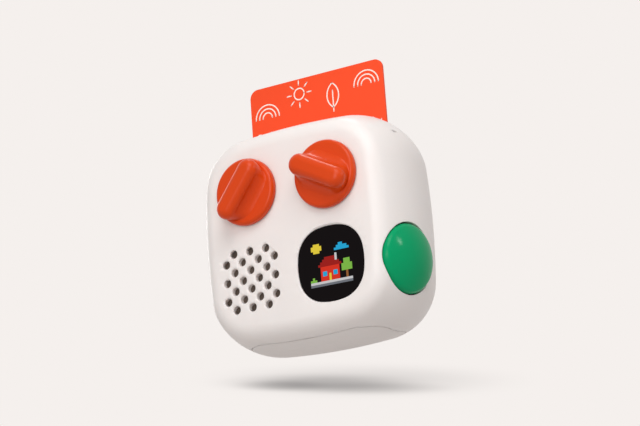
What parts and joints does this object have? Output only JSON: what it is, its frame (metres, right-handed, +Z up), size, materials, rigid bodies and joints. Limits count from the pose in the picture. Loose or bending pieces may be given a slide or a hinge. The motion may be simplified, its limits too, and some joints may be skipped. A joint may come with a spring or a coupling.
{
  "type": "audio story player",
  "caption": "Palm-sized audio story player with a rounded square case, turn knobs, a dome button, a small screen, a speaker grille and a card slot.",
  "frame": {"origin": "middle of the flat underside of the foot pad, on the player's middle line", "axes": "+Z up; the face with the knobs and the screen looks along -Y; +X is on the right hand of someone who faces it"},
  "size_m": [0.0801, 0.0511, 0.0967],
  "materials": {
    "shell": "fine satin moulded plastic",
    "foot": "soft-touch moulded pad",
    "knob": "satin orange moulded plastic",
    "button": "satin green moulded plastic",
    "power_cap": "satin",
    "steel": "plated",
    "dark_plastic": "moulded",
    "inner_plastic": "moulded",
    "lens": "smoked polished lens",
    "screen": "screen module",
    "foam": "foam",
    "cloth": "woven dust cloth",
    "cone": "paper cone",
    "magnet": "plated magnet",
    "board": "coated circuit board",
    "chips": "packages and shield",
    "rubber": "silicone",
    "card": "printed card",
    "battery": "foil pouch"
  },
  "bodies": {
    "case": {"front_housing": "shell", "rear_cover": "shell", "foot_pad": "foot", "left_encoder": "dark_plastic", "right_encoder": "dark_plastic", "screen_lens": "lens", "screen_gasket": "foam", "screen_module": "screen", "screen_holder": "dark_plastic", "speaker_cloth": "cloth", "speaker_frame": "steel", "speaker_cone": "cone", "speaker_magnet": "magnet", "side_board": "board", "button_switch": "dark_plastic", "return_dome": "rubber", "main_board": "board", "board_parts": "chips", "card_guide": "inner_plastic", "reader_board": "board", "battery": "battery", "battery_tape": "foam", "usb_socket": "steel", "headphone_socket": "dark_plastic", "power_switch": "dark_plastic", "board_screws": "steel", "guide_screws": "steel", "side_board_screws": "steel", "cover_screws": "steel"},
    "left_knob": {"left_knob": "knob", "left_shaft": "steel"},
    "right_knob": {"right_knob": "knob", "right_shaft": "steel"},
    "play_button": {"play_button": "button"},
    "power_button": {"power_button": "power_cap"},
    "story_card": {"story_card": "card"}
  },
  "joints": [
    {"name": "left_knob_turn", "type": "hinge", "parent": "case", "child": "left_knob", "pos_m": [-0.0157, -0.021, 0.0535], "axis": [0, -1, 0], "continuous": true},
    {"name": "right_knob_turn", "type": "hinge", "parent": "case", "child": "right_knob", "pos_m": [0.0157, -0.021, 0.0535], "axis": [0, -1, 0], "continuous": true},
    {"name": "play_button_press", "type": "slide", "parent": "case", "child": "play_button", "axis": [-0.9744, 0.2071, 0.0872], "range_m": [0, 0.0016], "stiffness_N_per_m": 900, "deforming": ["return_dome"]},
    {"name": "power_button_press", "type": "slide", "parent": "case", "child": "power_button", "axis": [1, 0, 0], "range_m": [0, 0.0006], "stiffness_N_per_m": 1500},
    {"name": "story_card_lift", "type": "slide", "parent": "case", "child": "story_card", "axis": [0, 0, 1], "range_m": [0, 0.07]}
  ]
}
